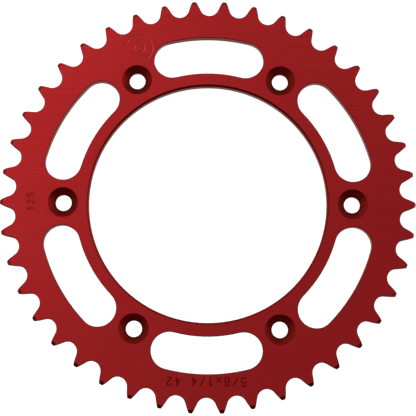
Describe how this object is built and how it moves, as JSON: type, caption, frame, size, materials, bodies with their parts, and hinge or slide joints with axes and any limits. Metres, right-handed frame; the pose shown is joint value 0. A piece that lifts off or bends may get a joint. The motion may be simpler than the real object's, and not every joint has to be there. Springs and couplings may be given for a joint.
{
  "type": "rear sprocket",
  "caption": "Flat toothed ring for a motorcycle's final drive chain, with a large hub bore, countersunk bolt holes and arc-shaped lightening slots between spokes.",
  "frame": {"origin": "centre of the hub bore on the back face, the face that seats on the wheel hub", "axes": "+Z along the bore axis, out of the countersunk front face; +X through one bolt hole and one tooth tip; the long size mark is at -Y"},
  "size_m": [0.2188, 0.2182, 0.0058],
  "materials": {
    "anodised_plate": "satin red anodised"
  },
  "bodies": {
    "root": {"sprocket": "anodised_plate"}
  },
  "joints": []
}
